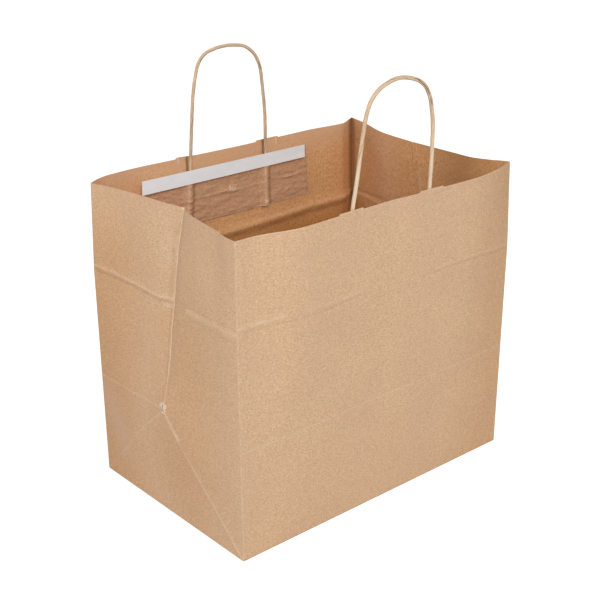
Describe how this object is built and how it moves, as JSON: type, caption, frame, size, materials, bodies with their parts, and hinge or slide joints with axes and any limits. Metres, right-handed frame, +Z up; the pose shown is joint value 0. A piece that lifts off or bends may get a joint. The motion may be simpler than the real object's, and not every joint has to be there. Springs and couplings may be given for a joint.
{
  "type": "paper carrier bag",
  "caption": "Brown kraft paper carrier bag with folded side gussets, a block bottom, twisted paper rope handles and a grey closure strip inside the rim.",
  "frame": {"origin": "middle of the base, on the surface the bag stands on", "axes": "+X along the wide panels, -Y towards the front panel, +Z up through the open mouth"},
  "size_m": [0.3304, 0.2325, 0.3985],
  "materials": {
    "kraft_paper": "matt uncoated kraft, lightly ribbed and creased",
    "patch_paper": "matt recycled kraft, wrinkled by its glue",
    "rope_paper": "matt twisted paper",
    "release_liner": "smooth grey silicone-coated liner"
  },
  "bodies": {
    "root": {"bag_body": "kraft_paper", "front_handle_rope": "rope_paper", "front_handle_base_patch": "patch_paper", "front_handle_cover_patch": "patch_paper", "back_handle_rope": "rope_paper", "back_handle_base_patch": "patch_paper", "back_handle_cover_patch": "patch_paper", "closure_strip": "release_liner"}
  },
  "joints": []
}
